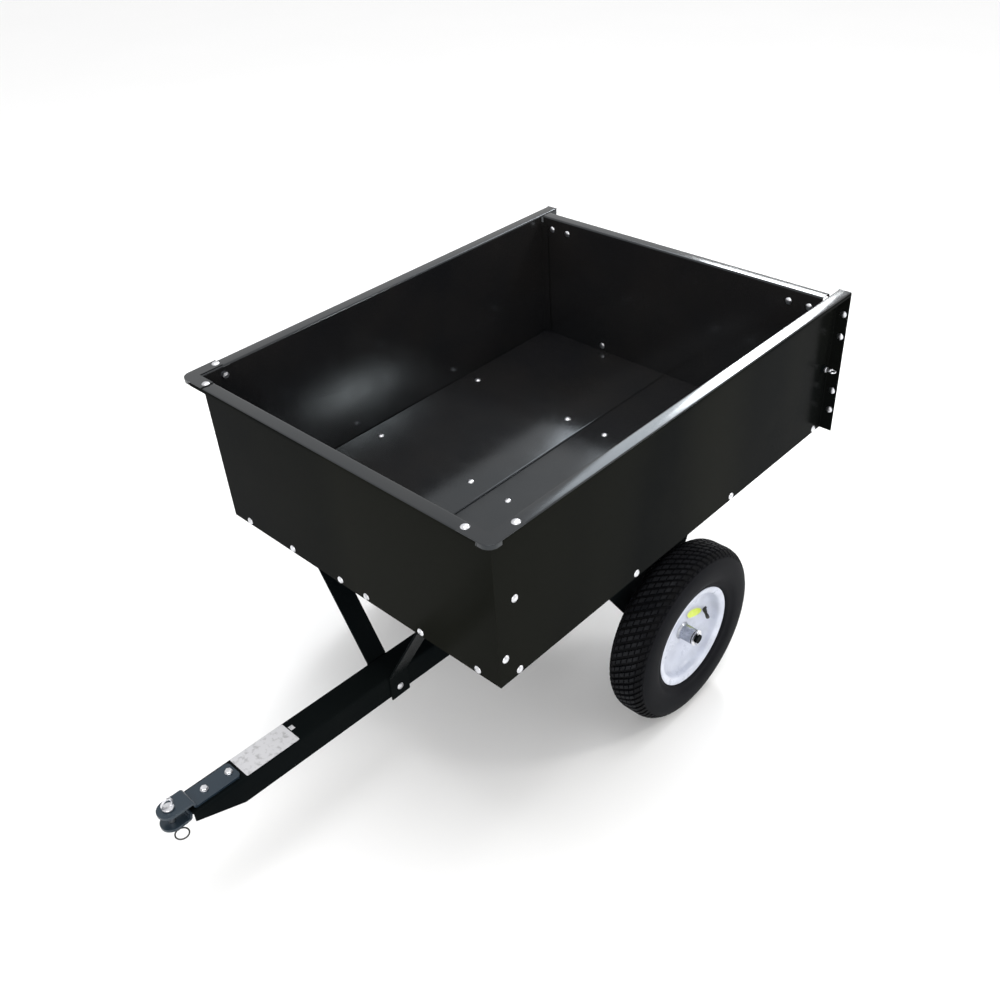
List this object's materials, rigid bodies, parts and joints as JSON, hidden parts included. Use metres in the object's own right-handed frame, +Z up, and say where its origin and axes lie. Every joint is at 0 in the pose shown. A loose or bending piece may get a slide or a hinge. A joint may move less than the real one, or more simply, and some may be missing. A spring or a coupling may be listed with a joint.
{
  "type": "tow behind cart",
  "caption": "Steel tow behind garden cart with a deep open bed, lift-out tailgate, two pneumatic tyres on a straight axle and a channel tongue with a pin hitch.",
  "frame": {"origin": "centre of the bounding box at ground level, under the middle of the cart", "axes": "+Z up, -Y towards the hitch, +Y towards the tailgate, X along the axle"},
  "size_m": [0.84, 1.5446, 0.8224],
  "materials": {
    "black_paint": "high gloss black powder coat on steel sheet",
    "zinc_steel": "zinc plated steel",
    "rim_paint": "pale grey painted steel",
    "tyre": "black moulded rubber",
    "black_plastic": "matt black moulded",
    "label": "blank pale film"
  },
  "bodies": {
    "bed": {"front_panel": "black_paint", "side_panel_left": "black_paint", "side_panel_right": "black_paint", "floor_left": "black_paint", "floor_right": "black_paint", "corner_plate_left": "black_paint", "corner_plate_right": "black_paint", "tailgate_guide_left": "black_paint", "tailgate_guide_right": "black_paint", "pin_collar_left": "black_paint", "pin_collar_right": "black_paint", "axle_bracket_left": "black_paint", "axle_bracket_right": "black_paint", "tongue_bracket_left": "black_paint", "tongue_bracket_right": "black_paint", "axle": "black_paint", "axle_spacers": "zinc_steel", "axle_washers": "zinc_steel", "cotter_pins": "zinc_steel", "tongue": "black_paint", "brace_left": "black_paint", "brace_right": "black_paint", "hitch_plate": "black_paint", "hitch_clevis": "black_paint", "hitch_bolts": "zinc_steel", "tongue_label": "label", "rim_bolts": "zinc_steel", "front_bolts": "zinc_steel", "side_bolts": "zinc_steel", "rear_bolts": "zinc_steel", "floor_bolts": "zinc_steel", "tongue_bolts": "zinc_steel"},
    "tailgate": {"tailgate": "black_paint", "tailgate_bracket_left": "black_paint", "tailgate_bracket_right": "black_paint", "tailgate_rail": "black_paint", "tailgate_bolts": "zinc_steel"},
    "pin_left": {"retaining_pin_left": "zinc_steel"},
    "pin_right": {"retaining_pin_right": "zinc_steel"},
    "hitch_pin": {"hitch_pin": "zinc_steel"},
    "hitch_clip": {"hitch_clip": "zinc_steel"},
    "wheel_left": {"tyre_left": "tyre", "rim_outer_left": "rim_paint", "rim_inner_left": "rim_paint", "hub_left": "zinc_steel", "bushes_left": "black_plastic", "valve_left": "black_plastic"},
    "wheel_right": {"tyre_right": "tyre", "rim_outer_right": "rim_paint", "rim_inner_right": "rim_paint", "hub_right": "zinc_steel", "bushes_right": "black_plastic", "valve_right": "black_plastic"}
  },
  "joints": [
    {"name": "wheel_left_spin", "type": "hinge", "parent": "bed", "child": "wheel_left", "pos_m": [0.369, 0.27412, 0.203], "axis": [1, 0, 0], "continuous": true},
    {"name": "wheel_right_spin", "type": "hinge", "parent": "bed", "child": "wheel_right", "pos_m": [-0.369, 0.27412, 0.203], "axis": [1, 0, 0], "continuous": true},
    {"name": "tailgate_lift", "type": "slide", "parent": "bed", "child": "tailgate", "axis": [0, 0, 1], "range_m": [0, 0.32]},
    {"name": "pin_left_pull", "type": "slide", "parent": "bed", "child": "pin_left", "axis": [1, 0, 0], "range_m": [0, 0.03]},
    {"name": "pin_right_pull", "type": "slide", "parent": "bed", "child": "pin_right", "axis": [-1, 0, 0], "range_m": [0, 0.03]},
    {"name": "hitch_pin_turn", "type": "hinge", "parent": "bed", "child": "hitch_pin", "pos_m": [0, -0.74953, 0.27011], "axis": [0, 0.0401, 0.9992], "continuous": true},
    {"name": "hitch_clip_pull", "type": "slide", "parent": "hitch_pin", "child": "hitch_clip", "axis": [1, 0, 0], "range_m": [0, 0.045]}
  ]
}
